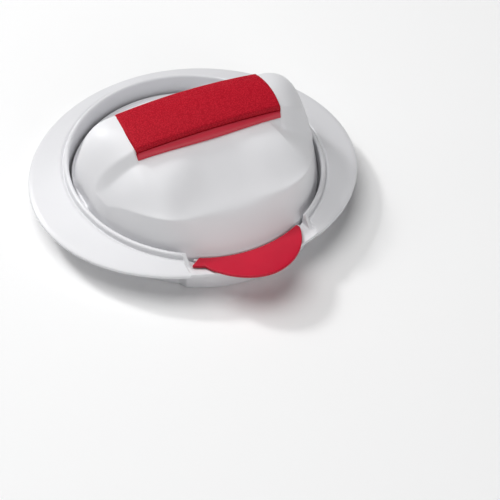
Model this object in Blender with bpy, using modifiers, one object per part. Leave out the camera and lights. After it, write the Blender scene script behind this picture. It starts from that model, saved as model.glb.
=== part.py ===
"""Hand press for round meat patties.

A round mould with an oval flange holds a loose lift plate, whose neck climbs through a notch in
the rim and carries a finger tab. A plunger with a bridge handle and a scooped front drops into the
mould. The mould's axis is Z, the handle runs along X and the tab points to -Y. The press stands on
Z = 0. Lengths are in metres.
"""
import math

import bmesh
import bpy

# Driving dimensions
RIM_Z = 0.0205             # top of the mould's rim above the table
BORE_R = 0.061             # mould bore at the rim
WALL = 0.0018
FLOOR = 0.0028
FLANGE_A = 0.082           # half length of the oval flange along X
FLANGE_B = 0.0702          # half width along Y
FLANGE_SLOPE = 0.243
FLANGE_T = 0.0017
BEAD_W = 0.0024
NOTCH_HALF = 0.0308        # half width of the notch in the rim
SHELF_DROP = 0.0055        # shelf under the tab, below the rim, where it starts
SHELF_SLOPE = 0.215
APRON_R = 0.0648           # wall that steps out round the neck
NECK_HALF = 0.0278
NECK_R = (0.0611, 0.0622)
GAP = 0.0003

PLUNGER_R = 0.0597
PLUNGER_FOOT_Z = 0.0053    # bottom of the plunger above the table
SHELL_T = 0.002
EDGE_BACK = -0.010         # plunger's edge against the rim, at the back
EDGE_FRONT = -0.0046
RIDGE_RISE = 0.0455        # handle above the back edge
RIDGE_HALF = 0.0582
FOOT_EDGE_Y = 0.0114       # front edge of the handle's feet, and the slope of the face below it
FOOT_FACE_SLOPE = 1.5
CREST_FRONT = 0.0456       # crest of the scooped front: its reach, its slanted sides, its height
CREST_SIDE = 0.0557
CREST_SLANT = (0.842, 0.54)
CREST_Z = 0.012
CREST_CORNER_RISE = 0.002
RAMP_Y = 0.0135            # scoop where it starts under the grip
RAMP_TOP = 0.0278
RAMP_SIDE_RISE = 0.0024
SHOULDER_HALF = 0.061      # round sides of the scoop, leaning in towards the front
SHOULDER_TOP = 0.0373
SHOULDER_LEAN = 0.43
HOLLOW = 0.0042            # shallow hollow beside the right foot

GRIP_HALF = 0.0376
GRIP_BACK = 0.0130
GRIP_FRONT = 0.0146
GRIP_TOP = 0.0356
GRIP_END_DROP = 0.0016
GRIP_CROWN = 11.0          # fall of the top across the handle, per metre of y squared
GRIP_T = 0.0020
SHOULDER_Y = 0.0112        # where the top rolls over into the bead along the front
SEAT_DROP = 0.0024         # seat under the grip, below the grip's top

TAB_TIP_R = 0.0805         # finger tab: its tip, its tail on the left and its two ends
TAB_TAIL_R = 0.0671
TAB_CURVE = 0.0000453
TAB_LEFT_DEG = -26.7
TAB_RIGHT_DEG = 25.6
TAB_Z = -0.0035
TAB_SLOPE = 0.2
TAB_T = 0.0016

TURN_STEPS = 96

MERGE = 0.00001


# ---------------------------------------------------------------- scene and small helpers

def clear_scene():
    for old in list(bpy.data.objects):
        bpy.data.objects.remove(old, do_unlink=True)


def new_collection(name):
    made = bpy.data.collections.new(name)
    bpy.context.scene.collection.children.link(made)
    return made


def plastic(name, color, roughness):
    made = bpy.data.materials.new(name)
    made.use_nodes = True
    shader = made.node_tree.nodes["Principled BSDF"]
    shader.inputs["Base Color"].default_value = (*color, 1.0)
    shader.inputs["Roughness"].default_value = roughness
    shader.inputs["Metallic"].default_value = 0.0
    return made


def add_object(name, mesh, collection, material=None):
    made = bpy.data.objects.new(name, mesh)
    collection.objects.link(made)
    if material:
        mesh.materials.append(material)
    return made


def mesh_from(name, build):
    """Make a mesh with a function that fills a bmesh."""
    shape = bmesh.new()
    build(shape)
    mesh = bpy.data.meshes.new(name)
    shape.to_mesh(mesh)
    shape.free()
    return mesh


def smooth(obj, angle=35):
    obj.data.shade_smooth()
    obj.data.set_sharp_from_angle(angle=math.radians(angle))


def turned(name, profile, collection, material=None):
    """Turn a closed profile of (radius, height) points about Z."""
    def build(shape):
        ring = [shape.verts.new((r, 0.0, z)) for r, z in profile]
        on_axis = profile[0][0] == 0.0 and profile[-1][0] == 0.0
        ends = ring[1:] if on_axis else ring[1:] + ring[:1]
        for first, second in zip(ring, ends):
            shape.edges.new((first, second))

    made = add_object(name, mesh_from(name, build), collection, material)
    screw = made.modifiers.new("turn", "SCREW")
    screw.axis = "Z"
    screw.steps = TURN_STEPS
    screw.render_steps = TURN_STEPS
    screw.use_merge_vertices = True
    screw.merge_threshold = MERGE
    return made


def box(name, low, high, collection):
    def build(shape):
        bmesh.ops.create_cube(shape, size=1.0)
        for corner in shape.verts:
            corner.co = [(a + b) / 2 + c * (b - a) for a, b, c in zip(low, high, corner.co)]

    return add_object(name, mesh_from(name, build), collection)


def as_cutter(obj):
    obj.hide_render = True
    obj.display_type = "WIRE"
    return obj


def combine(obj, other, operation):
    step = obj.modifiers.new(other.name, "BOOLEAN")
    step.operation = operation
    step.solver = "EXACT"
    step.object = other


def thicken(obj, thickness, offset=-1.0):
    shell = obj.modifiers.new("wall", "SOLIDIFY")
    shell.thickness = thickness
    shell.offset = offset
    shell.use_rim = True


def sheet(name, rows, collection, material=None, closed=False, pole=None):
    """Join rows of points into one open surface; closed rows are rings round a pole."""
    def build(shape):
        grid = [[shape.verts.new(point) for point in row] for row in rows]
        count = len(rows[0])
        last = count if closed else count - 1
        if pole:
            tip = shape.verts.new(pole)
            for i in range(last):
                shape.faces.new((tip, grid[0][i], grid[0][(i + 1) % count]))
        for inner, outer in zip(grid, grid[1:]):
            for i in range(last):
                j = (i + 1) % count
                shape.faces.new((inner[i], outer[i], outer[j], inner[j]))

    return add_object(name, mesh_from(name, build), collection, material)


# ---------------------------------------------------------------- curves of the plunger's top

def clamp(value):
    return min(1.0, max(0.0, value))


def ease(value):
    """Smooth step from 0 to 1."""
    value = clamp(value)
    return value * value * (3.0 - 2.0 * value)


def eased_ramp(value, lead):
    """Straight ramp from 0 to 1 with rounded ends of the given lead."""
    value = clamp(value)
    if value < lead:
        return value * value / (2 * lead * (1 - lead))
    if value > 1 - lead:
        return 1 - (1 - value) ** 2 / (2 * lead * (1 - lead))
    return (value - lead / 2) / (1 - lead)


def soft_max(a, b, blend):
    return (a + b + math.hypot(a - b, blend)) / 2


def soft_min(a, b, blend):
    return (a + b - math.hypot(a - b, blend)) / 2


def grip_top(x, y):
    """Height of the grip's crowned top above the rim."""
    return GRIP_TOP - GRIP_END_DROP * (x / GRIP_HALF) ** 2 - GRIP_CROWN * y * y


def ridge(x, y):
    """Arch of the handle: nearly flat on top, falling round to both feet, squarer at the back."""
    power = 3.4 + 1.5 * ease((y + 0.011) / 0.019)
    rest = max(0.0, 1.0 - (abs(x) / RIDGE_HALF) ** power)
    return soft_min(EDGE_BACK + RIDGE_RISE * rest ** (1 / power), grip_top(x, 0.0), 0.001)


def back_height(x, y):
    """Straight slope from the handle down to the plunger's back edge."""
    reach = math.sqrt(max(0.0, (PLUNGER_R - 0.0004) ** 2 - x * x))
    top = GRIP_BACK * (reach / PLUNGER_R) ** 0.4 - 0.0022 * (1.0 - ease((abs(x) - 0.031) / 0.016))
    fall = eased_ramp((y - top) / max(reach - top, 0.0001), 0.1)
    crown = GRIP_CROWN * min(y, top) ** 2
    return EDGE_BACK + (ridge(x, y) - crown - EDGE_BACK) * (1.0 - fall)


def foot_height(x, y):
    """Handle and feet in front of the axis: a front edge, then a steep face."""
    start = FOOT_EDGE_Y - 0.17 * max(0.0, abs(x) - 0.042)
    start -= 0.0022 * (1.0 - ease((abs(x) - 0.036) / 0.0025))
    past = -y - start
    drop = FOOT_FACE_SLOPE * (past + math.hypot(past, 0.0015)) / 2
    return ridge(x, y) - GRIP_CROWN * min(-y, start) ** 2 - drop


def crest_reach(x, y):
    """1 on the crest's outline, less inside it: a straight front, slanted sides, round corners."""
    power = 10.0
    front = abs(y) / CREST_FRONT
    side = (CREST_SLANT[0] * abs(x) + CREST_SLANT[1] * abs(y)) / CREST_SIDE
    return (front ** power + side ** power) ** (1 / power)


def hollow_depth(x, y):
    """Shallow hollow in the scoop beside the right foot."""
    inside = x - 0.0306 + 0.39 * (y + 0.016)
    across = math.sin(clamp(inside / 0.010) * math.pi / 2)
    return HOLLOW * across * ease((-y - 0.0135) / 0.003) * (1.0 - ease((-y - 0.022) / 0.014))


def shoulder_height(x, y):
    """Round side of the scoop, which leans in towards the front."""
    half = SHOULDER_HALF - SHOULDER_LEAN * max(0.0, -y - FOOT_EDGE_Y)
    rest = max(0.0, 1.0 - (x / half) ** 2)
    return EDGE_FRONT + (SHOULDER_TOP - EDGE_FRONT) * math.sqrt(rest)


def scoop_height(x, y):
    """Scoop from the grip's front edge down to the crest, rounded off beside the feet."""
    root = crest_reach(x, RAMP_Y)
    reach = crest_reach(x, min(y, -RAMP_Y))
    share = min(1.6, max(0.0, (reach - root) / max(1.0 - root, 0.02)))
    top = RAMP_TOP + RAMP_SIDE_RISE * ease((abs(x) - 0.034) / 0.010)
    crest = CREST_Z + CREST_CORNER_RISE * ease((abs(x) - 0.022) / 0.020)
    fan = top + (crest - top) * (0.5 * share + 0.5 * ease(share))
    return soft_min(fan, shoulder_height(x, y), 0.005) - hollow_depth(x, y)


def front_height(x, y):
    """The scoop, and the wall that drops from its crest to the plunger's edge."""
    foot_r = PLUNGER_R - 0.0004
    radius = max(math.hypot(x, y), 0.000001)
    reach = max(crest_reach(x, min(y, -0.0001)), 0.001)
    crest_r = min(radius / reach, foot_r - 0.0015)
    crest = scoop_height(x / radius * crest_r, y / radius * crest_r)
    wall = EDGE_FRONT + (crest - EDGE_FRONT) * (foot_r - radius) / (foot_r - crest_r)
    return soft_min(scoop_height(x, y), wall, 0.0008 + 0.0024 * (1.0 - ease(abs(x) / 0.042)))


def plunger_height(x, y):
    """Height of the plunger's outer surface above the rim."""
    edge = edge_height(math.atan2(y, x))
    if y >= 0:
        return soft_max(back_height(x, y), edge, 0.0005)
    lower = EDGE_BACK + (front_height(x, y) - EDGE_BACK) * ease(-y / 0.008)
    return soft_max(soft_max(foot_height(x, y), lower, 0.0012), edge, 0.0005)


def edge_height(angle):
    """Height of the plunger's edge above the rim, lower at the back than at the front."""
    return EDGE_FRONT + (EDGE_BACK - EDGE_FRONT) * ease((math.sin(angle) - 0.1) / 0.65)


def plunger_angles():
    """Places round the plunger, closer together where the scoop meets the feet."""
    spans = ((-45, 0, 25), (0, 180, 40), (180, 225, 25), (225, 315, 24))
    return [math.radians(start + (end - start) * i / steps)
            for start, end, steps in spans for i in range(steps)]


def ring_points(radius, height):
    """Ring of points at a radius, with the height given as a function of the place (x, y)."""
    places = [(radius * math.cos(a), radius * math.sin(a)) for a in plunger_angles()]
    return [(x, y, height(x, y)) for x, y in places]


# ---------------------------------------------------------------- the pieces

def make_mould(parts, cutters, material):
    """Tray with an upright wall, a beaded rim and a flange that is trimmed to an oval."""
    bead_r = BORE_R + BEAD_W / 2
    bead = []
    for step in range(9):
        turn = math.radians(180 - 22.5 * step)
        bead.append((bead_r + BEAD_W / 2 * math.cos(turn), RIM_Z - BEAD_W / 2 * (1 - math.sin(turn))))
    root_r = BORE_R + BEAD_W + 0.0016
    root_z = RIM_Z - 0.0026
    far_r = FLANGE_A + 0.004
    far_z = root_z - FLANGE_SLOPE * (far_r - root_r)
    outer_r = BORE_R + WALL
    under_z = root_z - FLANGE_T + FLANGE_SLOPE * (root_r - outer_r)
    profile = [(0.0, FLOOR), (BORE_R - 0.0022, FLOOR), (BORE_R - 0.0006, FLOOR + 0.0014)]
    profile += bead
    profile += [(root_r - 0.0009, root_z + 0.0003), (root_r, root_z - 0.0001)]
    profile += [(far_r, far_z), (far_r, far_z - FLANGE_T), (outer_r + 0.0015, under_z - 0.0004)]
    profile += [(outer_r, under_z - 0.0018), (outer_r, 0.0006), (outer_r - 0.0006, 0.0)]
    profile += [(0.052, 0.0), (0.0515, 0.0008), (0.0325, 0.0008), (0.032, 0.0), (0.0, 0.0)]
    mould = turned("mould_ring", profile, parts, material)

    oval = as_cutter(add_object("flange_oval", mesh_from("flange_oval", build_oval), cutters))
    combine(mould, oval, "INTERSECT")

    shelf_r = BORE_R + 0.0015
    shelf_z = RIM_Z - SHELF_DROP
    apron = turned("apron", [(BORE_R + 0.0009, shelf_z), (APRON_R, shelf_z), (APRON_R, 0.0006),
                             (APRON_R - 0.0006, 0.0), (BORE_R + 0.0009, 0.0)], cutters)
    sector = as_cutter(box("apron_sector", (-NOTCH_HALF - 0.0012, -0.1, -0.01),
                           (NOTCH_HALF + 0.0012, -0.04, 0.03), cutters))
    combine(apron, sector, "INTERSECT")
    combine(mould, as_cutter(apron), "UNION")

    far_shelf = shelf_z + SHELF_SLOPE * (far_r - shelf_r)
    shelf = turned("shelf", [(BORE_R - 0.003, RIM_Z + 0.01), (far_r, RIM_Z + 0.01),
                             (far_r, far_shelf), (shelf_r, shelf_z),
                             (BORE_R - 0.003, shelf_z)], cutters)
    notch = as_cutter(box("notch_sector", (-NOTCH_HALF, -0.1, -0.01),
                          (NOTCH_HALF, -0.04, 0.04), cutters))
    combine(shelf, notch, "INTERSECT")
    combine(mould, as_cutter(shelf), "DIFFERENCE")

    pocket_r = NECK_R[1] + GAP
    pocket = turned("neck_pocket", [(0.058, RIM_Z + 0.01), (pocket_r, RIM_Z + 0.01),
                                    (pocket_r, FLOOR), (0.058, FLOOR)], cutters)
    slot = as_cutter(box("neck_sector", (-NECK_HALF - 0.0006, -0.1, -0.01),
                         (NECK_HALF + 0.0006, -0.04, 0.04), cutters))
    combine(pocket, slot, "INTERSECT")
    combine(mould, as_cutter(pocket), "DIFFERENCE")
    smooth(mould)


def build_oval(shape):
    bmesh.ops.create_cone(shape, cap_ends=True, segments=TURN_STEPS, radius1=1.0, radius2=1.0,
                          depth=0.08)
    for corner in shape.verts:
        corner.co.x *= FLANGE_A
        corner.co.y *= FLANGE_B


def make_lift_plate(parts, cutters, material):
    """Loose round plate on the mould's floor, with a neck that climbs through the notch."""
    low = FLOOR + GAP
    high = PLUNGER_FOOT_Z - GAP
    rim_r = BORE_R - 0.0010
    plate = turned("lift_plate", [(0.0, high), (rim_r - 0.0006, high), (rim_r, high - 0.0006),
                                  (rim_r, low + 0.0010), (rim_r - 0.0010, low), (0.0, low)],
                   parts, material)
    top = RIM_Z + TAB_Z - GAP
    neck = turned("neck", [(NECK_R[0], top), (NECK_R[1], top), (NECK_R[1], low + 0.0014),
                           (NECK_R[1] - 0.0008, low), (0.056, low), (0.056, high),
                           (NECK_R[0] - 0.0004, high), (NECK_R[0], high + 0.0006)], cutters)
    sector = as_cutter(box("neck_width", (-NECK_HALF, -0.1, -0.01), (NECK_HALF, -0.04, 0.04),
                           cutters))
    combine(neck, sector, "INTERSECT")
    combine(plate, as_cutter(neck), "UNION")
    smooth(plate)


def tab_edge(degrees):
    """Outer radius of the tab at an angle from its middle: a bulge, and a thin tail on the left."""
    bulge = TAB_TIP_R - TAB_CURVE * abs(degrees) ** 1.84
    return max(bulge, TAB_TAIL_R if degrees < 0 else NECK_R[1] + 0.0015)


def make_tab(parts, material):
    """Crescent finger tab, dished upwards towards its tip."""
    inner_r = NECK_R[1] + GAP
    columns = 47
    across = 7
    rows = []
    for i in range(columns):
        degrees = TAB_LEFT_DEG + (TAB_RIGHT_DEG - TAB_LEFT_DEG) * i / (columns - 1)
        turn = math.radians(degrees - 90)
        row = []
        for j in range(across):
            radius = inner_r + (tab_edge(degrees) - inner_r) * j / (across - 1)
            height = RIM_Z + TAB_Z + TAB_SLOPE * (radius - BORE_R)
            row.append((radius * math.cos(turn), radius * math.sin(turn), height))
        rows.append(row)
    tab = sheet("lift_tab", rows, parts, material)
    face_up(tab)
    thicken(tab, TAB_T)
    smooth(tab)


def face_up(obj):
    """Turn an open sheet's faces so that they point up."""
    shape = bmesh.new()
    shape.from_mesh(obj.data)
    shape.normal_update()
    if sum(face.normal.z for face in shape.faces) < 0:
        bmesh.ops.reverse_faces(shape, faces=shape.faces)
    shape.to_mesh(obj.data)
    shape.free()


def grip_section(x):
    """Points across the grip, from its back edge over the top to the bead along its front."""
    steps = 8
    points = []
    for step in range(steps + 1):
        y = GRIP_BACK - (GRIP_BACK + SHOULDER_Y) * step / steps
        points.append((x, y, RIM_Z + grip_top(x, y)))
    shoulder = RIM_Z + grip_top(x, SHOULDER_Y)
    points.append((x, -0.0136, shoulder - 0.0012))
    points.append((x, -GRIP_FRONT, shoulder - 0.0032))
    points.append((x, -GRIP_FRONT + 0.0001, RIM_Z + scoop_height(x, -GRIP_FRONT) + 0.0006))
    return points


def seat_section(x):
    """Points across the seat under the grip, whose front and back run into the shell's wall."""
    steps = 8
    behind = GRIP_BACK + 0.0026
    ahead = -GRIP_FRONT - 0.0020
    points = [(x, behind, RIM_Z + back_height(x, behind) - 0.0012)]
    for step in range(steps + 1):
        y = GRIP_BACK - (GRIP_BACK + SHOULDER_Y - 0.0008) * step / steps
        points.append((x, y, RIM_Z + grip_top(x, y) - SEAT_DROP))
    points.append((x, -GRIP_FRONT + 0.0026, RIM_Z + scoop_height(x, -GRIP_FRONT) - 0.0004))
    points.append((x, ahead, RIM_Z + scoop_height(x, ahead) - 0.0012))
    return points


def saddle(name, half, section, collection, material=None):
    """Sheet with a wall, lofted along the handle through copies of a section."""
    stations = 9
    rows = [section(half * (2 * i / (stations - 1) - 1)) for i in range(stations)]
    made = sheet(name, rows, collection, material)
    face_up(made)
    thicken(made, GRIP_T)
    return made


def make_grip(parts, material):
    grip = saddle("grip_pad", GRIP_HALF, grip_section, parts, material)
    smooth(grip)


def make_plunger(parts, cutters, material):
    """Hollow shell, open below, with a window on top for the grip and a seat under it."""
    rings = 20
    rows = []
    for i in range(1, rings + 1):
        radius = (PLUNGER_R - 0.0004) * (1.0 - (1.0 - i / rings) ** 1.6)
        rows.append(ring_points(radius, lambda x, y: RIM_Z + plunger_height(x, y)))
    rows.append(ring_points(PLUNGER_R, lambda x, y: RIM_Z + edge_height(math.atan2(y, x)) - 0.0008))
    rows.append(ring_points(PLUNGER_R, lambda x, y: PLUNGER_FOOT_Z + 0.004))
    rows.append(ring_points(PLUNGER_R, lambda x, y: PLUNGER_FOOT_Z))
    pole = (0.0, 0.0, RIM_Z + plunger_height(0.0, 0.0))
    shell = sheet("plunger_shell", rows, parts, material, closed=True, pole=pole)
    face_up(shell)
    thicken(shell, SHELL_T)
    window = box("grip_window", (-GRIP_HALF - GAP, -GRIP_FRONT - GAP, RIM_Z + 0.0245),
                 (GRIP_HALF + GAP, GRIP_BACK + GAP, RIM_Z + 0.05), cutters)
    combine(shell, as_cutter(window), "DIFFERENCE")
    seat = saddle("grip_seat", GRIP_HALF + 0.0016, seat_section, cutters)
    combine(shell, as_cutter(seat), "UNION")
    smooth(shell)


def make_press_plate(parts, material):
    """Flat disc that plugs the bottom of the plunger, with a stiffening ring on its back."""
    radius = PLUNGER_R - SHELL_T - GAP
    low = PLUNGER_FOOT_Z
    top = low + 0.0024
    turned("press_plate", [(0.0, top), (0.030, top), (0.030, top + 0.004), (0.0316, top + 0.004),
                           (0.0316, top), (radius - 0.0008, top), (radius, top - 0.0008),
                           (radius, low + 0.0005), (radius - 0.0005, low), (0.0, low)],
           parts, material)
    smooth(bpy.data.objects["press_plate"])


def main():
    clear_scene()
    parts = new_collection("patty_press")
    cutters = new_collection("cutters")
    white = plastic("white_plastic", (0.83, 0.83, 0.84), 0.35)
    inner_white = plastic("white_plate", (0.80, 0.80, 0.81), 0.4)
    press_white = plastic("white_press_plate", (0.81, 0.81, 0.82), 0.35)
    shell_white = plastic("white_shell", (0.83, 0.83, 0.84), 0.33)
    tab_red = plastic("red_tab", (0.55, 0.02, 0.05), 0.45)
    grip_red = plastic("red_grip", (0.50, 0.01, 0.025), 0.6)
    make_mould(parts, cutters, white)
    make_lift_plate(parts, cutters, inner_white)
    make_tab(parts, tab_red)
    make_plunger(parts, cutters, shell_white)
    make_press_plate(parts, press_white)
    make_grip(parts, grip_red)


main()
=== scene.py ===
import math

import bmesh
import bpy
import numpy as np
from mathutils import Matrix, Vector


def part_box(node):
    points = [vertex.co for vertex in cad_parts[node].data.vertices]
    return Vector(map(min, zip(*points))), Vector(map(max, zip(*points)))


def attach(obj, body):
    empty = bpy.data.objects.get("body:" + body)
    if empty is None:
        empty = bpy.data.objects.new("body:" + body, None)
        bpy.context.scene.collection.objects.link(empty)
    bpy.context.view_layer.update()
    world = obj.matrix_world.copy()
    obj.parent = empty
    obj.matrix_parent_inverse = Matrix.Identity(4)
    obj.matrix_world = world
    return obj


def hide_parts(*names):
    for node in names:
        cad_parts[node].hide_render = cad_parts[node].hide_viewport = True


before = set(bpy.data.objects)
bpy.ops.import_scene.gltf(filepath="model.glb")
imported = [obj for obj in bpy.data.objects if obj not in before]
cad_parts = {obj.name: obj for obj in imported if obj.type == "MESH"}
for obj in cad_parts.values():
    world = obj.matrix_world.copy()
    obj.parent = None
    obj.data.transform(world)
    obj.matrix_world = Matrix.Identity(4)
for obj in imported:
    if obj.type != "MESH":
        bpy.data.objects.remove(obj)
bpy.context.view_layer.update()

# Lengths are in millimetres, and meshes are made in metres; names that end in DEG are in degrees.
# X runs along the handle, Y to the back, Z up from the table, and the plunger's axis is at X = Y = 0.
MM = 0.001

# Smallest values that a root and a division are given
TINY = 1e-9
NEAR_AXIS = 1e-6


def corners(node):
    """Lowest and highest corner of a CAD node."""
    low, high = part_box(node)
    return low / MM, high / MM


mould_high = corners("mould_ring")[1]
plunger_low, plunger_high = corners("plunger_shell")
grip_high = corners("grip_pad")[1]
plate_low = corners("lift_plate")[0]
press_low, press_high = corners("press_plate")

# Mould: radii, and heights above the rim
RIM = mould_high.z
PLUNGER_R = plunger_high.x
BORE_R = PLUNGER_R + 1.3
WALL_R = BORE_R + 1.8
APRON_R = BORE_R + 3.8
FLOOR_Z = 2.8 - RIM
FLOOR_CORNER_R = 2.4
UNDER_IN = 32.0
UNDER_OUT = 52.0
UNDER_HOLLOW = 0.8
UNDER_BEVEL = 0.4
BEAD_W = 2.4
BEAD_R = BEAD_W / 2
BEAD_MIDDLE = BORE_R + BEAD_R
BEAD_END = BORE_R + BEAD_W
WALL_TOP = -BEAD_R

# Mould: the oval flange and the groove between it and the bead
FLANGE_A = mould_high.x
FLANGE_B = mould_high.y
FLANGE_T = 1.7
FLANGE_INNER_R = BORE_R + 4.0
FLANGE_START = -2.2
FLANGE_SLOPE = 0.243
FLANGE_EDGE_R = 0.6
FLANGE_UNDER_R = 0.5
GROOVE = ((0.05, -2.1), (0.2, -2.55), (0.5, -2.75), (0.9, -2.6), (1.3, -2.3), (1.8, FLANGE_START - 0.05))

# Mould: the notch at the front with its sunk shelf, the strip beside it and the pocket for the neck
NOTCH_HALF = 30.8
NOTCH_ANGLE = math.asin(NOTCH_HALF / BORE_R)
NOTCH_STEP = 0.25
STRIP_W = 2.2
STRIP_END = NOTCH_HALF + STRIP_W
STRIP_STEP = 0.3
STRIP_CROWN = 0.45
STRIP_SLOPE = 0.8
SHELF_INNER_R = BORE_R + 1.0
SHELF_START = -5.5
SHELF_SLOPE = 0.215
SHELF_CORNER = 0.25
POCKET_R = BORE_R + 1.5
POCKET_X = (28.0, 28.4)
APRON_X = (31.2, 33.8)

# Plunger: its edge, with heights above the rim, and the handle that spans it
SLOPE_END_R = PLUNGER_R - 0.4
EDGE_BACK = -10.0
EDGE_FRONT = -4.6
EDGE_TURN = (0.1, 0.75)  # sines of the angle round the axis
EDGE_BLEND = 0.5
RIDGE_RISE = 45.5
RIDGE_HALF = 58.2
RIDGE_POWER = 3.4
RIDGE_SQUARER = 1.5
RIDGE_TURN_Y = (-11.0, 8.0)
GRIP_STEP = 2.2
BACK_TOP_Y = 13.0
BACK_TOP_POWER = 0.4
BACK_STEP_X = (31.0, 47.0)
FOOT_EDGE_Y = 11.4
FOOT_STEP_X = (36.0, 38.5)
FOOT_DRIFT = 0.17
FOOT_DRIFT_X = 42.0
FOOT_FACE_SLOPE = 1.5
FOOT_EDGE_BLEND = 0.7
FOOT_BLEND = 0.9

# Plunger: the scoop in front of the handle, its crest and the wall below the crest
CREST_FRONT = 45.6
CREST_SIDE = 56.0
CREST_SLANT = (0.842, 0.54)
CREST_POWER = 10.0
CREST_Z = 12.0
CREST_CORNER_RISE = 2.0
CREST_CORNER_X = (22.0, 42.0)
CREST_BLEND_ENDS = 0.25
CREST_BLEND_MIDDLE = 3.15
CREST_BLEND_X = (0.0, 40.0)
CREST_GAP = 1.5
ROOT_Y = -13.5
RAMP_TOP = 27.8
RAMP_SIDE_RISE = 2.4
RAMP_SIDE_X = (34.0, 44.0)
SHOULDER_HALF = 60.2
SHOULDER_TOP = 37.3
SHOULDER_LEAN = 0.36
SCOOP_BLEND = 5.0
SCOOP_START_Y = 8.0
HOLLOW = 4.2
HOLLOW_W = 10.0
HOLLOW_EDGE = (30.6, -16.0)
HOLLOW_EDGE_LEAN = 0.39
HOLLOW_START = (13.5, 16.5)
HOLLOW_END = (22.0, 36.0)

# Plunger's skirt, and the plate inside it, which has a rib on top and a groove below
SKIRT_T = 2.0
SKIRT_INSIDE_R = 30.0
SKIRT_INSIDE_TOP = 7.0
PRESS_T = 2.4
PRESS_BEVEL = 0.4
RIB_IN = 30.0
RIB_OUT = 31.6
PRESS_GROOVE = 0.3
PRESS_GROOVE_IN = 48.7
PRESS_GROOVE_OUT = 50.0

# Grip: heights above the rim
GRIP_HALF = grip_high.x
GRIP_BACK = grip_high.y - 0.1
GRIP_FRONT = -13.9
GRIP_BULGE = 1.3
GRIP_TOP = grip_high.z - RIM
GRIP_END_DROP = 1.6
GRIP_CROWN = 0.011
GRIP_WAIST = 37.2
GRIP_END_BULGE = 1.2
SHOULDER_Y = -11.2
GRIP_SHOULDER = ((0.45, 0.14), (0.85, 0.45), (1.15, 0.95), (1.3, 1.6), (1.38, 2.5))
GRIP_GROOVE = ((1.25, 2.8), (0.85, 3.0), (0.85, 3.35), (1.3, 3.45))
GRAIN_END_Y = SHOULDER_Y - 1.42
GRIP_BEAD_Y = SHOULDER_Y - 1.5
GRIP_BEAD_DROP = 3.5
GRIP_BEAD_TUCK = 0.5

# Finger tab: angles from -Y
TAB_REACH = 80.5
TAB_CURVE = 0.0453
TAB_POWER = 1.84
TAIL_R = 67.1
TAB_INNER_R = BORE_R - 0.2
TAB_DEG = (-27.3, 25.6)
TAB_SLANT_DEG = 2.9
TAB_SLANT_SPAN_DEG = 9.0
TAB_PINCH_DEG = 0.7
TAB_T = 1.6
TAB_BASE = 3.5
TAB_SLOPE = 0.2
TAB_ROUND = ((0.0, -1.3), (0.0, -0.5), (0.12, -0.22), (0.3, -0.06), (0.55, 0.0))

# Lift plate: a disc, and a neck that climbs the wall; heights above the table
DISC_R = BORE_R - 1.0
DISC_TOP = 5.0
NECK_IN = BORE_R + 0.1
NECK_OUT = BORE_R + 1.2
NECK_HALF = 27.8
NECK_TOP = RIM - 4.3

# Camera: places in metres, sensor and lens in millimetres
CAMERA_PLACE = (-0.27308, -0.50835, 0.57802)
CAMERA_TARGET = (-0.00308, -0.06357, 0.0205)
CAMERA_ROLL_DEG = 5.423
SENSOR_WIDTH = 36.0
LENS = 119.24

# Lights, in metres and watts: name, place, size and power. All of them face LIGHT_TARGET.
LIGHT_TARGET = (0.0, 0.0, 0.03)
LIGHTS = (
    ("key", (-0.75, 1.45, 1.4), (0.3, 0.3), 17.0),
    ("overhead", (-0.3, 0.25, 1.6), (1.2, 1.2), 17.0),
    ("back_left", (-0.7, 1.1, 1.3), (1.0, 1.0), 5.0),
    ("front", (0.0, -1.5, 0.9), (0.7, 0.6), 3.0),
    ("left", (-1.4, 0.7, 0.9), (0.8, 0.8), 1.4),
    ("front_low", (0.4, -1.4, 0.2), (0.9, 0.3), 3.8),
)


# ---------------------------------------------------------------- curves

def rise(value, low, high):
    """Smooth step from 0 at low to 1 at high."""
    share = np.clip((value - low) / (high - low), 0.0, 1.0)
    return share * share * (3.0 - 2.0 * share)


def fade(value, low, high):
    """Smooth step from 1 at low to 0 at high."""
    return 1.0 - rise(value, low, high)


def eased_ramp(value, lead):
    """Straight ramp from 0 to 1 with rounded ends of the given lead."""
    value = np.clip(value, 0.0, 1.0)
    start = value ** 2 / (2 * lead * (1 - lead))
    end = 1 - (1 - value) ** 2 / (2 * lead * (1 - lead))
    middle = (value - lead / 2) / (1 - lead)
    return np.where(value < lead, start, np.where(value > 1 - lead, end, middle))


def arch(x, half, power):
    """Superellipse from 1 at x = 0 down to 0 at the half width."""
    rest = 1.0 - np.minimum(1.0, np.abs(x) / half) ** power
    return np.maximum(TINY, rest) ** (1 / power)


def soft_max(a, b, blend):
    """Larger of two heights, rounded over where they cross."""
    return (a + b + np.hypot(a - b, blend)) / 2


def soft_min(a, b, blend):
    """Smaller of two heights, rounded off where they cross."""
    return (a + b - np.hypot(a - b, blend)) / 2


# ---------------------------------------------------------------- heights above the rim

def grip_top(x, y):
    """Crowned top of the grip."""
    return GRIP_TOP - GRIP_END_DROP * (x / GRIP_HALF) ** 2 - GRIP_CROWN * y ** 2


def ridge(x, y):
    """Arch of the handle: nearly flat on top, falling round to both feet, squarer at the back."""
    power = RIDGE_POWER + RIDGE_SQUARER * rise(y, *RIDGE_TURN_Y)
    return soft_min(EDGE_BACK + RIDGE_RISE * arch(x, RIDGE_HALF, power), grip_top(x, 0.0), 1.0)


def edge_height(angle):
    """Plunger's edge, lower at the back than at the front."""
    return EDGE_FRONT + (EDGE_BACK - EDGE_FRONT) * rise(np.sin(angle), *EDGE_TURN)


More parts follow.
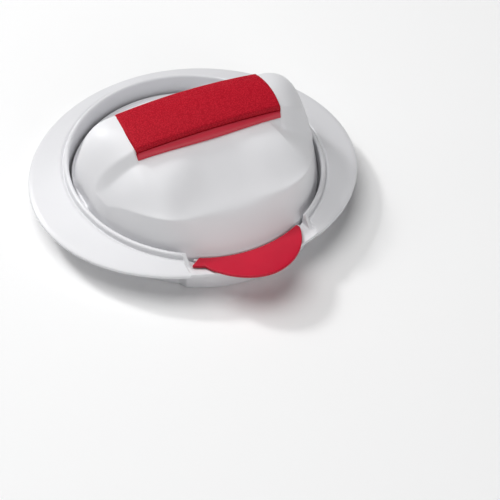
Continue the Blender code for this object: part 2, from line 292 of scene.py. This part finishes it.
def back_height(x, y):
    """Straight slope from the handle down to the plunger's back edge."""
    reach = np.sqrt(np.maximum(0.0, SLOPE_END_R ** 2 - x ** 2))
    top = BACK_TOP_Y * (reach / PLUNGER_R) ** BACK_TOP_POWER - GRIP_STEP * fade(np.abs(x), *BACK_STEP_X)
    fall = eased_ramp((y - top) / np.maximum(reach - top, 0.1), 0.1)
    crown = GRIP_CROWN * np.minimum(y, top) ** 2
    slope = EDGE_BACK + (ridge(x, y) - crown - EDGE_BACK) * (1.0 - fall)
    return soft_max(slope, edge_height(np.arctan2(y, x)), EDGE_BLEND)


def foot_height(x, y):
    """Handle and feet in front of the axis: a crisp front edge, then a steep face."""
    start = FOOT_EDGE_Y - FOOT_DRIFT * np.maximum(0.0, np.abs(x) - FOOT_DRIFT_X)
    start = start - GRIP_STEP * fade(np.abs(x), *FOOT_STEP_X)
    drop = FOOT_FACE_SLOPE * soft_max(-y - start, 0.0, FOOT_EDGE_BLEND)
    return ridge(x, y) - GRIP_CROWN * np.minimum(-y, start) ** 2 - drop


def crest_reach(x, y):
    """1 on the crest's outline, less inside it: a straight front, slanted sides, a round corner."""
    front = np.abs(y) / CREST_FRONT
    side = (CREST_SLANT[0] * np.abs(x) + CREST_SLANT[1] * np.abs(y)) / CREST_SIDE
    return (front ** CREST_POWER + side ** CREST_POWER) ** (1 / CREST_POWER)


def hollow_depth(x, y):
    """Shallow hollow in the scoop beside the right foot, with a crisp inner edge."""
    edge_x, edge_y = HOLLOW_EDGE
    inside = x - edge_x + HOLLOW_EDGE_LEAN * (y - edge_y)
    across = np.sin(np.clip(inside / HOLLOW_W, 0.0, 1.0) * math.pi / 2)
    return HOLLOW * across * rise(-y, *HOLLOW_START) * fade(-y, *HOLLOW_END)


def shoulder_height(x, y):
    """Round side of the scoop, which leans in towards the front."""
    half = SHOULDER_HALF - SHOULDER_LEAN * np.maximum(0.0, -y - FOOT_EDGE_Y)
    return EDGE_FRONT + (SHOULDER_TOP - EDGE_FRONT) * arch(x, half, 2.0)


def scoop_height(x, y):
    """Scoop from the grip's front edge down to the crest, rounded off beside the feet."""
    root = crest_reach(x, ROOT_Y)
    reach = crest_reach(x, np.minimum(y, ROOT_Y))
    share = np.clip((reach - root) / np.maximum(1.0 - root, 0.02), 0.0, 1.6)
    top = RAMP_TOP + RAMP_SIDE_RISE * rise(np.abs(x), *RAMP_SIDE_X)
    crest = CREST_Z + CREST_CORNER_RISE * rise(np.abs(x), *CREST_CORNER_X)
    fan = top + (crest - top) * (share + rise(share, 0.0, 1.0)) / 2
    return soft_min(fan, shoulder_height(x, y), SCOOP_BLEND) - hollow_depth(x, y)


def front_height(x, y):
    """The scoop, and the wall that drops from its crest to the ledge."""
    radius = np.maximum(np.hypot(x, y), NEAR_AXIS)
    reach = np.maximum(crest_reach(x, np.minimum(y, -0.1)), NEAR_AXIS)
    crest_r = np.minimum(radius / reach, SLOPE_END_R - CREST_GAP)
    crest = scoop_height(x / radius * crest_r, y / radius * crest_r)
    wall = EDGE_FRONT + (crest - EDGE_FRONT) * (SLOPE_END_R - radius) / (SLOPE_END_R - crest_r)
    middle = fade(np.abs(x), *CREST_BLEND_X)
    blend = CREST_BLEND_ENDS + (CREST_BLEND_MIDDLE - CREST_BLEND_ENDS) * middle
    return soft_min(scoop_height(x, y), wall, blend)


def plunger_height(x, y):
    """The plunger's outer surface."""
    scoop = EDGE_BACK + (front_height(x, y) - EDGE_BACK) * rise(-y, 0.0, SCOOP_START_Y)
    front = soft_max(foot_height(x, y), scoop, FOOT_BLEND)
    front = soft_max(front, EDGE_FRONT, EDGE_BLEND)
    return np.where(y >= 0, back_height(x, y), front)


# ---------------------------------------------------------------- mesh helpers

def grid_faces(rows, columns, wrap):
    """Quads of a grid of points, listed row by row."""
    faces = []
    for i in range(rows - 1):
        for j in range(columns if wrap else columns - 1):
            k = (j + 1) % columns
            faces.append((i * columns + j, (i + 1) * columns + j, (i + 1) * columns + k, i * columns + k))
    return faces


def end_caps(start, rows, columns):
    """The two faces that close the ends of a wrapped grid whose points begin at start."""
    last = start + (rows - 1) * columns
    return [tuple(range(start, start + columns)), tuple(reversed(range(last, last + columns)))]


def add_object(name, data):
    """Put an object with this data in the scene."""
    made = bpy.data.objects.new(name, data)
    bpy.context.scene.collection.objects.link(made)
    return made


def mesh_piece(name, points, faces, body, node, material, sharp_deg=40.0):
    """A smooth-shaded piece that rides on a body and stands for a CAD node."""
    mesh = bpy.data.meshes.new(name)
    mesh.from_pydata([tuple(point) for point in np.asarray(points) * MM], [], faces)
    shape = bmesh.new()
    shape.from_mesh(mesh)
    bmesh.ops.remove_doubles(shape, verts=shape.verts, dist=0.002 * MM)
    bmesh.ops.recalc_face_normals(shape, faces=shape.faces)
    shape.to_mesh(mesh)
    shape.free()
    mesh.shade_smooth()
    mesh.set_sharp_from_angle(angle=math.radians(sharp_deg))
    mesh.materials.append(material)
    piece = add_object(name, mesh)
    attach(piece, body)
    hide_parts(node)
    return piece


def arc(centre, radius, start_deg, end_deg, steps):
    """Points (r, z) on an arc."""
    turns = [math.radians(start_deg + (end_deg - start_deg) * i / steps) for i in range(steps + 1)]
    return [(centre[0] + radius * math.cos(t), centre[1] + radius * math.sin(t)) for t in turns]


def turned_rings(profile, segments):
    """Grid of points of a profile turned about the mould's axis."""
    turns = np.linspace(0, 2 * math.pi, segments, endpoint=False)
    return np.array([[(r * math.cos(t), r * math.sin(t), z) for t in turns] for r, z in profile])


# ---------------------------------------------------------------- materials

class Nodes:
    """Short way to build a node material around a Principled shader."""

    def __init__(self, name):
        self.material = bpy.data.materials.new(name)
        self.material.use_nodes = True
        self.tree = self.material.node_tree
        self.shader = self.tree.nodes["Principled BSDF"]

    def add(self, kind, **inputs):
        node = self.tree.nodes.new(kind)
        for key, value in inputs.items():
            node.inputs[key].default_value = value
        return node

    def link(self, output, target):
        self.tree.links.new(output, target)

    def object_space(self):
        return self.add("ShaderNodeTexCoord").outputs["Object"]

    def noise(self, scale, detail=3.0):
        node = self.add("ShaderNodeTexNoise", Scale=scale, Detail=detail, Roughness=0.55)
        self.link(self.object_space(), node.inputs["Vector"])
        return node.outputs["Fac"]

    def spread(self, value, low, high, source=(0.3, 0.7)):
        """Map a value from its usual range to a range from low to high."""
        node = self.add("ShaderNodeMapRange")
        node.inputs["From Min"].default_value = source[0]
        node.inputs["From Max"].default_value = source[1]
        node.inputs["To Min"].default_value = low
        node.inputs["To Max"].default_value = high
        self.link(value, node.inputs["Value"])
        return node.outputs["Result"]

    def color_between(self, factor, first, second):
        """Set the base colour to a mix of two colours."""
        node = self.tree.nodes.new("ShaderNodeMix")
        node.data_type = "RGBA"
        node.inputs["A"].default_value = (*first, 1.0)
        node.inputs["B"].default_value = (*second, 1.0)
        self.link(factor, node.inputs["Factor"])
        self.link(node.outputs["Result"], self.shader.inputs["Base Color"])

    def uneven_roughness(self, noise_scale, detail, low, high):
        noise = self.noise(noise_scale, detail)
        self.link(self.spread(noise, low, high), self.shader.inputs["Roughness"])

    def bump(self, height, strength, distance, normal=None):
        """Bump of a height in metres, on top of another one where its normal is given."""
        node = self.add("ShaderNodeBump", Strength=strength, Distance=distance)
        self.link(height, node.inputs["Height"])
        if normal:
            self.link(normal, node.inputs["Normal"])
        return node.outputs["Normal"]

    def finish(self, normal, ior, specular=0.5):
        """Link the normal, set the gloss and return the material."""
        self.link(normal, self.shader.inputs["Normal"])
        self.shader.inputs["IOR"].default_value = ior
        self.shader.inputs["Specular IOR Level"].default_value = specular
        return self.material


def scaled(color, factor, lift=0.0):
    """A colour made darker or lighter."""
    return tuple(factor * c + lift for c in color)


def white_plastic(name, color, roughness):
    """Satin moulded plastic: faint mottling, uneven gloss and a very fine moulding texture."""
    made = Nodes(name)
    made.color_between(made.spread(made.noise(22.0, 4.0), 0.0, 1.0), color, scaled(color, 0.965))
    made.uneven_roughness(60.0, 5.0, roughness - 0.05, roughness + 0.06)
    fine = made.bump(made.noise(2600.0, 2.0), 0.05, 0.00004)
    wavy = made.bump(made.noise(35.0, 2.0), 0.06, 0.0004, fine)
    return made.finish(wavy, 1.46)


def red_plastic(name, color, roughness, specular):
    """Smooth coloured plastic with uneven gloss and a fine matt texture."""
    made = Nodes(name)
    made.color_between(made.spread(made.noise(40.0, 4.0), 0.0, 1.0), color, scaled(color, 0.86))
    made.uneven_roughness(90.0, 4.0, roughness - 0.05, roughness + 0.06)
    return made.finish(made.bump(made.noise(1500.0), 0.12, 0.00006), 1.46, specular)


def grained_red(name, color):
    """Soft-touch pad with a fine pebble grain."""
    made = Nodes(name)
    grain = made.add("ShaderNodeTexVoronoi", Scale=1500.0)
    grain.feature = "SMOOTH_F1"
    grain.inputs["Smoothness"].default_value = 0.6
    made.link(made.object_space(), grain.inputs["Vector"])
    pebbles = made.spread(grain.outputs["Distance"], 1.0, 0.0, (0.15, 0.6))
    made.color_between(pebbles, scaled(color, 0.8), scaled(color, 1.15, 0.008))
    made.uneven_roughness(150.0, 4.0, 0.5, 0.66)
    coarse = made.bump(made.noise(500.0), 0.3, 0.0003)
    return made.finish(made.bump(pebbles, 0.4, 0.0003, coarse), 1.42, 0.15)


# ---------------------------------------------------------------- mould

def mould_columns():
    """Places round the rim, in radians from -Y, closer together at the notch's sides."""
    steps = np.concatenate([np.linspace(0, NOTCH_ANGLE - 0.02, 26),
                            NOTCH_ANGLE + np.linspace(-0.014, 0.075, 26),
                            np.linspace(NOTCH_ANGLE + 0.085, math.pi - 0.016, 150)])
    return np.concatenate([-steps[:0:-1], steps])


def flange_z(radius):
    """Flange's top face, which slopes down to its edge."""
    return FLANGE_START - FLANGE_SLOPE * (radius - FLANGE_INNER_R)


def shelf_z(radius):
    """Sunk shelf in the notch, which slopes up to the flange's edge."""
    return SHELF_START + SHELF_SLOPE * (radius - SHELF_INNER_R)


class MouldSection:
    """The mould's section at a place round the rim, with heights above the rim.

    notch, strip, pocket and apron are the shares of those features at this place, from 0 to 1.
    """

    def __init__(self, angle):
        self.angle = angle
        x = BORE_R if abs(angle) > math.pi / 2 else abs(BORE_R * math.sin(angle))
        self.notch = float(fade(x, NOTCH_HALF - NOTCH_STEP, NOTCH_HALF + NOTCH_STEP))
        self.strip = float(fade(x, STRIP_END - STRIP_STEP, STRIP_END + STRIP_STEP))
        self.pocket = float(fade(x, *POCKET_X))
        self.apron = float(fade(x, *APRON_X))
        self.crown = STRIP_CROWN * ((x - NOTCH_HALF - STRIP_W / 2) / (STRIP_W / 2)) ** 2
        self.fan = float(rise(abs(angle), NOTCH_ANGLE + 0.06, NOTCH_ANGLE + 0.31))
        self.inner_r = BORE_R + (POCKET_R - BORE_R) * self.pocket
        self.wall_r = WALL_R + (APRON_R - WALL_R) * self.apron
        self.edge_r = self.find_edge()

    def angle_at(self, radius):
        """The section runs straight out at the notch's sides, and away from the axis elsewhere."""
        if radius <= BORE_R or self.fan >= 1.0:
            return self.angle
        straight = math.asin(BORE_R * math.sin(self.angle) / radius)
        return straight + (self.angle - straight) * self.fan

    def find_edge(self):
        """Radius of the flange's oval edge, by steps, because the angle depends on the radius."""
        radius = (FLANGE_A + FLANGE_B) / 2
        for _ in range(8):
            turn = self.angle_at(radius)
            radius = 1.0 / math.hypot(math.sin(turn) / FLANGE_A, math.cos(turn) / FLANGE_B)
        return radius

    def strip_z(self, radius):
        """Raised strip beside the notch, sloping from the bead down to the shelf."""
        slope = -STRIP_SLOPE * (radius - BEAD_MIDDLE - 0.3) - self.crown
        return float(soft_max(slope, shelf_z(radius) + 0.05, 0.5))

    def top_z(self, radius, height):
        """Top face: the given height of the groove or flange, changed by the strip and the shelf."""
        height = height + (self.strip_z(radius) - height) * self.strip
        return height + (shelf_z(radius) - height) * self.notch

    def inside(self):
        """Floor, its round corner and the wall of the bore."""
        points = [(radius, FLOOR_Z) for radius in (0.0, 20.0, 40.0, 54.0)]
        points += arc((BORE_R - 3.0, FLOOR_Z + FLOOR_CORNER_R), FLOOR_CORNER_R, -90, 0, 5)
        wall_top = WALL_TOP + (shelf_z(BORE_R) - 1.0 - WALL_TOP) * self.notch
        return points + [(self.inner_r, height) for height in (-12.0, -8.0, wall_top)]

    def bead(self):
        """Half-round bead on the rim, which becomes the inner part of the shelf in the notch."""
        points = []
        bead = arc((BEAD_MIDDLE, -BEAD_R), BEAD_R, 180, 0, 14)[1:]
        shelf_start = self.inner_r + SHELF_CORNER
        for index, (radius, height) in enumerate(bead):
            along = (index + 1) / len(bead)
            if radius > BEAD_MIDDLE:
                height += (min(-self.crown / 2, self.strip_z(radius)) - height) * self.strip
            shelf_r = shelf_start + (BEAD_END - shelf_start) * along
            shelf = shelf_z(shelf_r) - 0.45 * max(0.0, 1.0 - along * 5) ** 2
            points.append((radius + (shelf_r - radius) * self.notch,
                           height + (shelf - height) * self.notch))
        return points

    def flange(self):
        """Groove, top face, rounded edge and underside of the flange."""
        points = [(BEAD_END + out, self.top_z(BEAD_END + out, height)) for out, height in GROOVE]
        for radius in np.linspace(BEAD_END + 2.4, self.edge_r - 0.8, 9):
            points.append((radius, self.top_z(radius, flange_z(radius))))
        edge_top = self.top_z(self.edge_r, flange_z(self.edge_r))
        points += arc((self.edge_r - FLANGE_EDGE_R, edge_top - FLANGE_EDGE_R), FLANGE_EDGE_R, 78, 0, 5)
        points += arc((self.edge_r - FLANGE_UNDER_R, edge_top - FLANGE_T + FLANGE_UNDER_R),
                      FLANGE_UNDER_R, 0, -90, 4)
        for radius in np.linspace(self.edge_r - 0.6, self.wall_r + 1.5, 6)[1:]:
            points.append((radius, self.top_z(radius, flange_z(radius)) - FLANGE_T))
        return points

    def outside(self):
        """Outer wall with a fillet below the flange, and the hollowed underside."""
        wall = self.wall_r
        root = self.top_z(wall + 1.5, flange_z(wall + 1.5)) - FLANGE_T
        points = [(wall + 0.6, root - 0.15), (wall + 0.15, root - 0.6), (wall, root - 1.4),
                  (wall, -12.0), (wall, -16.0)]
        points += arc((wall - 0.7, 0.7 - RIM), 0.7, 0, -90, 4)
        under = ((wall - 2.0, 0.0), (UNDER_OUT, 0.0), (UNDER_OUT - UNDER_BEVEL, UNDER_HOLLOW),
                 (UNDER_IN + UNDER_BEVEL, UNDER_HOLLOW), (UNDER_IN, 0.0), (12.0, 0.0), (0.0, 0.0))
        return points + [(radius, height - RIM) for radius, height in under]

    def points(self):
        """Points (x, y, z) of the whole section, with z above the table."""
        section = []
        for radius, height in self.inside() + self.bead() + self.flange() + self.outside():
            turn = self.angle_at(radius)
            section.append((radius * math.sin(turn), -radius * math.cos(turn), height + RIM))
        return section


def make_mould(material):
    """Shallow round mould with an oval flange, a bead on its rim and a notch for the finger tab."""
    grid = np.array([MouldSection(angle).points() for angle in mould_columns()]).transpose(1, 0, 2)
    rows, count = grid.shape[:2]
    mesh_piece("mould_body", grid.reshape(-1, 3), grid_faces(rows, count, True),
               "mould", "mould_ring", material, 50)


# ---------------------------------------------------------------- plunger

def plunger_skin(angles, rings):
    """Rings of points on the outer surface, spaced evenly along its slope in every direction."""
    radii = np.linspace(0, PLUNGER_R - 0.35, 1500)
    skin = np.zeros((rings, len(angles), 3))
    for column, angle in enumerate(angles):
        x = radii * math.cos(angle)
        y = radii * math.sin(angle)
        z = plunger_height(x, y)
        run = np.concatenate([[0.0], np.cumsum(np.hypot(np.diff(radii), np.diff(z)))])
        places = np.linspace(0, run[-1], rings + 1)[1:]
        for axis, values in enumerate((x, y, z + RIM)):
            skin[:, column, axis] = np.interp(places, run, values)
    return skin


def plunger_skirt(angles):
    """Rings from the rounded edge down the outside to the foot, and up under the top."""
    edge = edge_height(angles) + RIM
    foot = plunger_low.z
    inner = PLUNGER_R - SKIRT_T
    profile = ((PLUNGER_R - 0.1, edge - 0.25), (PLUNGER_R, edge - 0.7), (PLUNGER_R, (edge + foot) / 2),
               (PLUNGER_R, foot + 0.6), (PLUNGER_R - 0.2, foot + 0.15), (PLUNGER_R - 0.6, foot),
               (inner + 0.3, foot), (inner, foot + 0.3), (inner, foot + 5.0),
               (SKIRT_INSIDE_R, foot + SKIRT_INSIDE_TOP))
    rings = []
    for radius, height in profile:
        height = np.broadcast_to(height, angles.shape)
        rings.append(np.stack([radius * np.cos(angles), radius * np.sin(angles), height], 1))
    return np.array(rings)


def make_plunger(material):
    """Hollow plunger: a handle that spans it, with a long slope behind and a scoop in front."""
    segments = 480
    angles = np.linspace(0, 2 * math.pi, segments, endpoint=False)
    grid = np.concatenate([plunger_skin(angles, 150), plunger_skirt(angles)])
    centre_z = float(plunger_height(0.0, 0.0)) + RIM
    points = list(grid.reshape(-1, 3)) + [(0.0, 0.0, centre_z), (0.0, 0.0, grid[-1, 0, 2])]
    faces = grid_faces(len(grid), segments, True)
    top, below = len(points) - 2, len(points) - 1
    last = (len(grid) - 1) * segments
    for j in range(segments):
        k = (j + 1) % segments
        faces.append((top, j, k))
        faces.append((below, last + k, last + j))
    mesh_piece("plunger_body", points, faces, "plunger", "plunger_shell", material, 60)


def make_press_plate(material):
    """Disc under the plunger, with a round rib on top and a fine groove below."""
    segments = 160
    radius = press_high.x
    low = press_low.z
    top = low + PRESS_T
    rib = press_high.z
    bevel = PRESS_BEVEL
    profile = [(0.0, top), (RIB_IN - bevel, top), (RIB_IN, top + bevel), (RIB_IN, rib - bevel),
               (RIB_IN + bevel, rib), (RIB_OUT - bevel, rib), (RIB_OUT, rib - bevel),
               (RIB_OUT, top + bevel), (RIB_OUT + bevel, top), (radius - 0.6, top)]
    profile += arc((radius - 0.5, top - 0.5), 0.5, 80, 0, 4)
    profile += arc((radius - bevel, low + bevel), bevel, 0, -90, 4)
    groove_top = low + PRESS_GROOVE
    profile += [(PRESS_GROOVE_OUT, low), (PRESS_GROOVE_OUT - PRESS_GROOVE, groove_top),
                (PRESS_GROOVE_IN + PRESS_GROOVE, groove_top), (PRESS_GROOVE_IN, low), (20.0, low),
                (0.0, low)]
    grid = turned_rings(profile, segments)
    mesh_piece("press_disc", grid.reshape(-1, 3), grid_faces(len(profile), segments, True),
               "plunger", "press_plate", material)


# ---------------------------------------------------------------- grip

def grip_section(x):
    """Points (y, z) across the grip from its back edge to the underside of its front bead."""
    bulge = GRIP_BULGE * (1.0 - (x / GRIP_HALF) ** 2)
    back = GRIP_BACK + bulge
    front = GRIP_FRONT - bulge
    back_top = float(grip_top(x, back - 1.0))
    points = [(back, back_top - 2.2), (back, back_top - 1.1)]
    for turn in np.radians((10, 30, 50, 68)):
        points.append((back - 1.0 + math.cos(turn), back_top - 1.0 + math.sin(turn)))
    points += [(y, float(grip_top(x, y))) for y in np.linspace(back - 1.2, SHOULDER_Y, 15)]
    shoulder = float(grip_top(x, SHOULDER_Y))
    points += [(SHOULDER_Y - out, shoulder - down) for out, down in GRIP_SHOULDER + GRIP_GROOVE]
    bead_top = shoulder - GRIP_BEAD_DROP
    depth = bead_top - float(scoop_height(-abs(x), front)) + 0.25
    for share in np.linspace(0, 1, 13)[1:]:
        round_out = math.sin(min(1.0, share * 1.35) * math.pi / 2) ** 0.7
        tuck = GRIP_BEAD_TUCK * max(0.0, share - 0.8) / 0.2
        points.append((GRIP_BEAD_Y - (GRIP_BEAD_Y - front) * round_out + tuck, bead_top - depth * share))
    return points


def make_grip(grained, smooth):
    """Pad over the handle: grained on top, with a groove and a smooth bead along its front."""
    # Shares of the half length, each with the drop that rounds the pad's ends
    ends = [(1.0, 2.4), (1.0, 1.0), (0.992, 0.45), (0.984, 0.16), (0.974, 0.02)]
    stations = [(-share, drop) for share, drop in ends]
    stations += [(share, 0.0) for share in np.linspace(-0.96, 0.96, 61)]
    stations += [(share, drop) for share, drop in reversed(ends)]
    sections = []
    for share, drop in stations:
        section = []
        for y, z in grip_section(share * GRIP_HALF):
            across = np.clip((y - 0.3) / 14.0, -1, 1)
            half = GRIP_WAIST + GRIP_END_BULGE * (1.0 - across ** 2)
            section.append((share * half, y, z + RIM - drop))
        sections.append(section)
    grid = np.array(sections)
    rows, count = grid.shape[:2]
    # A fan from the border to a point inside the handle closes the pad from below
    index = np.arange(rows * count).reshape(rows, count)
    border = [*index[0], *index[1:-1, -1], *index[-1, ::-1], *index[-2:0:-1, 0]]
    border = [int(i) for i in border]
    points = list(grid.reshape(-1, 3)) + [(0.0, 0.0, RIM + GRIP_TOP - 5.0)]
    inside = len(points) - 1
    faces = grid_faces(rows, count, False)
    faces += [(i, k, inside) for i, k in zip(border, border[1:] + border[:1])]
    grip = mesh_piece("grip_cover", points, faces, "plunger", "grip_pad", grained, 60)
    # The bead faces below the groove get the lighter, pinker red, which is painted sheen on the bead
    grip.data.materials.append(smooth)
    for face in grip.data.polygons:
        if face.center.y < GRAIN_END_Y * MM:
            face.material_index = 1


# ---------------------------------------------------------------- lift plate and tab

def tab_edge(degrees):
    """Outer radius of the tab at an angle from its middle: a bulge, and a thin tail on the left."""
    bulge = TAB_REACH - TAB_CURVE * abs(degrees) ** TAB_POWER
    return max(bulge, TAIL_R) if degrees < 0 else bulge


def tab_section(degrees):
    """Points (x, y, z) round the tab's section, which is pinched at the tab's ends."""
    first, last = TAB_DEG
    pinch = (max(0.0, 1.0 - (degrees - first) / TAB_PINCH_DEG) ** 2
             + max(0.0, 1.0 - (last - degrees) / TAB_PINCH_DEG) ** 2)
    slant = TAB_SLANT_DEG * max(0.0, 1.0 - (degrees - first) / TAB_SLANT_SPAN_DEG)
    low = TAB_INNER_R + 0.25 * pinch
    high = max(tab_edge(degrees), TAB_INNER_R + 2.1) - 0.5 * pinch
    round_w = TAB_ROUND[-1][0]
    line = [(low + out, z) for out, z in TAB_ROUND]
    line += [(radius, 0.0) for radius in np.linspace(low + round_w, high - round_w, 13)[1:-1]]
    line += [(high - out, z) for out, z in reversed(TAB_ROUND)]
    line += [(high - 0.2, 0.05 - TAB_T), (high - 0.5, -TAB_T), ((low + high) / 2, -TAB_T),
             (low + 0.4, -TAB_T)]
    section = []
    for radius, height in line:
        turn = math.radians(degrees - 90 + slant * (TAIL_R - radius) / (TAIL_R - TAB_INNER_R))
        base = RIM - TAB_BASE + TAB_SLOPE * (radius - BORE_R)
        section.append((radius * math.cos(turn), radius * math.sin(turn), base + height - 0.4 * pinch))
    return section


def make_tab(material):
    """Finger tab with rounded edges: its left end is cut slanted, its right end is a round tip."""
    columns = 140
    first, last = TAB_DEG
    shares = [(1 - math.cos(math.pi * i / columns)) / 2 for i in range(columns + 1)]
    grid = np.array([tab_section(first + (last - first) * share) for share in shares])
    rows, count = grid.shape[:2]
    faces = grid_faces(rows, count, True) + end_caps(0, rows, count)
    mesh_piece("finger_tab", grid.reshape(-1, 3), faces, "lift", "lift_tab", material, 55)


def make_lift_plate(material):
    """Loose disc with a neck that climbs the wall at the front."""
    segments = 192
    low = plate_low.z
    profile = [(0.0, DISC_TOP), (40.0, DISC_TOP), (DISC_R - 0.5, DISC_TOP)]
    profile += arc((DISC_R - 0.4, DISC_TOP - 0.4), 0.4, 80, 0, 4)
    profile += [(DISC_R, low + 1.0), (DISC_R - 1.0, low), (40.0, low), (0.0, low)]
    points = list(turned_rings(profile, segments).reshape(-1, 3))
    faces = grid_faces(len(profile), segments, True)
    line = [(NECK_IN, 3.4), (NECK_IN, NECK_TOP - 0.4), (NECK_IN + 0.12, NECK_TOP - 0.1),
            (NECK_IN + 0.3, NECK_TOP), (NECK_OUT - 0.3, NECK_TOP), (NECK_OUT - 0.1, NECK_TOP - 0.1),
            (NECK_OUT, NECK_TOP - 0.4), (NECK_OUT, 3.6), (NECK_OUT - 0.6, 3.2), (DISC_R - 1.0, 3.2)]
    rows = 61
    reach = math.asin(NECK_HALF / NECK_OUT)
    start = len(points)
    for turn in np.linspace(-reach, reach, rows) - math.pi / 2:
        points += [(r * math.cos(turn), r * math.sin(turn), z) for r, z in line]
    faces += [tuple(start + v for v in face) for face in grid_faces(rows, len(line), True)]
    faces += end_caps(start, rows, len(line))
    mesh_piece("lift_disc", points, faces, "lift", "lift_plate", material)


# ---------------------------------------------------------------- floor, lights and camera, in metres

def make_floor():
    mesh = bpy.data.meshes.new("floor")
    half = 3.0
    mesh.from_pydata([(-half, -half, 0), (half, -half, 0), (half, half, 0), (-half, half, 0)], [],
                     [(0, 1, 2, 3)])
    made = Nodes("pale_floor")
    made.shader.inputs["Base Color"].default_value = (0.96, 0.96, 0.96, 1.0)
    made.shader.inputs["Roughness"].default_value = 0.9
    made.shader.inputs["Specular IOR Level"].default_value = 0.1
    mesh.materials.append(made.material)
    add_object("floor", mesh)


def aim(obj, target, roll_deg=0.0):
    """Point an object's -Z at a target and turn it about that line."""
    forward = Vector(target) - obj.location
    obj.rotation_mode = "QUATERNION"
    turn = Matrix.Rotation(math.radians(roll_deg), 3, "Z").to_quaternion()
    obj.rotation_quaternion = forward.to_track_quat("-Z", "Y") @ turn


def make_lights():
    for name, place, size, power in LIGHTS:
        light = bpy.data.lights.new(name, "AREA")
        light.shape = "RECTANGLE"
        light.size, light.size_y = size
        light.energy = power
        made = add_object(name, light)
        made.location = place
        aim(made, LIGHT_TARGET)
    world = bpy.data.worlds.new("studio")
    world.use_nodes = True
    background = world.node_tree.nodes["Background"]
    background.inputs["Color"].default_value = (0.97, 0.97, 1.0, 1.0)
    background.inputs["Strength"].default_value = 0.03
    bpy.context.scene.world = world


def make_camera():
    data = bpy.data.cameras.new("camera")
    data.sensor_width = SENSOR_WIDTH
    data.lens = LENS
    camera = add_object("camera", data)
    camera.location = CAMERA_PLACE
    aim(camera, CAMERA_TARGET, CAMERA_ROLL_DEG)
    bpy.context.scene.camera = camera


mould_white = white_plastic("mould_white", (0.76, 0.76, 0.78), 0.36)
plate_white = white_plastic("plate_white", (0.79, 0.79, 0.81), 0.4)
plunger_white = white_plastic("plunger_white", (0.84, 0.84, 0.86), 0.42)
press_white = white_plastic("press_white", (0.79, 0.79, 0.81), 0.36)
tab_red = red_plastic("tab_red", (0.58, 0.008, 0.035), 0.42, 0.3)
grip_red = grained_red("grip_red", (0.50, 0.005, 0.02))
# The bead's red is the grip's red made lighter and pinker as a painted sheen; its smooth finish and gloss
# are real
bead_red_painted_sheen = red_plastic("bead_red_painted_sheen", (0.68, 0.03, 0.06), 0.45, 0.5)

make_mould(mould_white)
make_plunger(plunger_white)
make_press_plate(press_white)
make_grip(grip_red, bead_red_painted_sheen)
make_tab(tab_red)
make_lift_plate(plate_white)
make_floor()
make_lights()
make_camera()
bpy.context.scene.view_settings.view_transform = "Standard"
